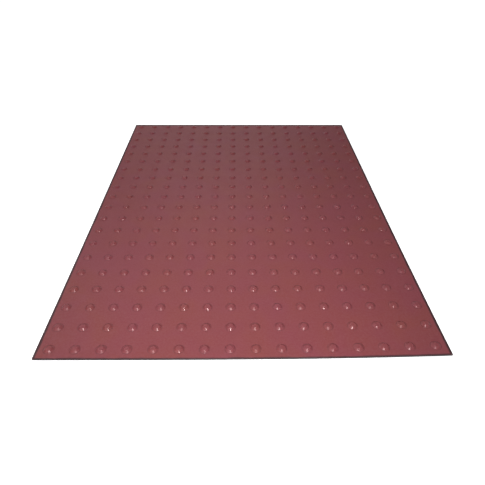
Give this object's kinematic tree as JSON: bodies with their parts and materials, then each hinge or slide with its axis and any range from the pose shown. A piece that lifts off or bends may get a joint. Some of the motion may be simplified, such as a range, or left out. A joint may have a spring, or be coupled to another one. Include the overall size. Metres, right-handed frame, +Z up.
{
  "type": "domed floor mat",
  "caption": "Thin flexible rectangular floor mat with square-cut edges, a straight grid of small truncated domes on top and a flat non-slip underside.",
  "frame": {"origin": "centre of the underside, where the mat rests on the floor", "axes": "+Z up out of the domed face, +Y along the mat's length, +X across its width"},
  "size_m": [0.9144, 1.2192, 0.0095],
  "materials": {
    "wear_sheet": "satin",
    "scrim": "matte",
    "foam": "matte",
    "backing": "matte"
  },
  "bodies": {
    "root": {"dome_sheet": "wear_sheet", "reinforcing_scrim": "scrim", "cushion_core": "foam", "grip_backing": "backing"}
  },
  "joints": []
}
